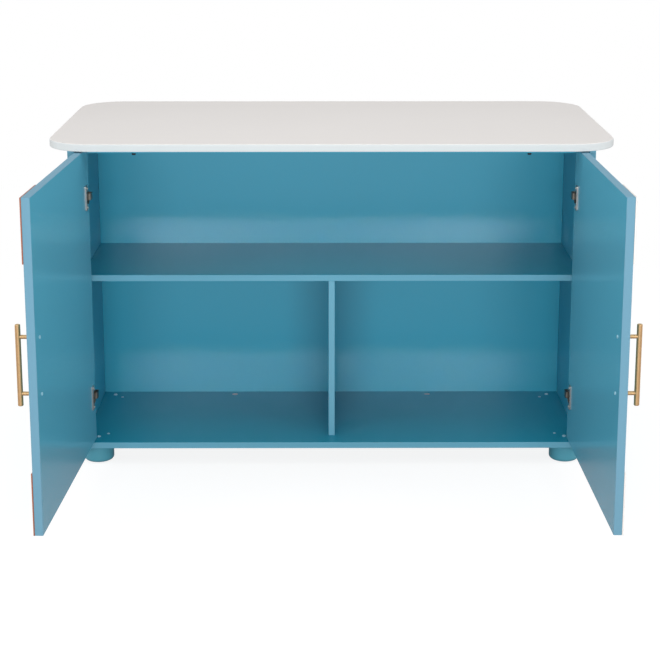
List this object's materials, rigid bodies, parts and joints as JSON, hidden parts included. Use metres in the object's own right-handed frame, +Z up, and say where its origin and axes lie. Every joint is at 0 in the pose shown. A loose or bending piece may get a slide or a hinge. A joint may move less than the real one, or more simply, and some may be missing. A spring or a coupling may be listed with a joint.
{
  "type": "kitchen counter cabinet",
  "caption": "Painted counter cabinet with a rounded, overhanging worktop, hinged doors with bar handles, a full-width shelf over a divider, on round feet.",
  "frame": {"origin": "on the floor, in the middle of the footprint of the counter and the open doors", "axes": "+X to the right, +Y to the back away from the doors, +Z up"},
  "size_m": [1.401, 1.3024, 0.841],
  "materials": {
    "blue_paint": "satin paint",
    "counter_laminate": "satin laminate",
    "rust_paint": "satin paint",
    "cream_paint": "satin paint",
    "brass": "brushed",
    "steel": "nickel plated",
    "pale_blue_caps": "satin paint",
    "dark_steel": "black oxide",
    "beech": "raw wood",
    "glide_plastic": "matt"
  },
  "bodies": {
    "cabinet": {"back_panel": "blue_paint", "bottom_panel": "blue_paint", "bottom_screws": "steel", "cam_bolts": "steel", "cam_locks": "steel", "counter_bolts": "dark_steel", "counter_top": "counter_laminate", "counter_washers": "dark_steel", "divider": "blue_paint", "dowels": "beech", "foot_back_left": "blue_paint", "foot_back_right": "blue_paint", "foot_bolts": "pale_blue_caps", "foot_front_left": "blue_paint", "foot_front_right": "blue_paint", "foot_glides": "glide_plastic", "foot_screws": "pale_blue_caps", "hinge_arm_screws": "steel", "hinge_plate_screws": "steel", "left_lower_hinge_arm": "steel", "left_lower_hinge_plate": "steel", "left_upper_hinge_arm": "steel", "left_upper_hinge_plate": "steel", "right_lower_hinge_arm": "steel", "right_lower_hinge_plate": "steel", "right_upper_hinge_arm": "steel", "right_upper_hinge_plate": "steel", "shelf": "blue_paint", "side_panel_left": "blue_paint", "side_panel_right": "blue_paint", "top_rail_back": "blue_paint", "top_rail_front": "blue_paint"},
    "left_door": {"left_door_corner_bottom": "rust_paint", "left_door_corner_top": "rust_paint", "left_door_panel": "blue_paint", "left_handle_bar": "brass", "left_handle_posts": "brass", "left_handle_screws": "pale_blue_caps", "left_hinge_cup_screws": "steel", "left_lower_hinge_cup": "steel", "left_lower_hinge_pin": "steel", "left_upper_hinge_cup": "steel", "left_upper_hinge_pin": "steel"},
    "right_door": {"right_door_corner_bottom": "cream_paint", "right_door_corner_top": "cream_paint", "right_door_panel": "blue_paint", "right_handle_bar": "brass", "right_handle_posts": "brass", "right_handle_screws": "pale_blue_caps", "right_hinge_cup_screws": "steel", "right_lower_hinge_cup": "steel", "right_lower_hinge_pin": "steel", "right_upper_hinge_cup": "steel", "right_upper_hinge_pin": "steel"}
  },
  "joints": [
    {"name": "left_door_hinge", "type": "hinge", "parent": "cabinet", "child": "left_door", "pos_m": [-0.61418, -0.0387, 0.441], "axis": [0, 0, -1], "range_deg": [-92.8, 7.2]},
    {"name": "right_door_hinge", "type": "hinge", "parent": "cabinet", "child": "right_door", "pos_m": [0.61418, -0.0387, 0.441], "axis": [0, 0, 1], "range_deg": [-91, 9]}
  ]
}
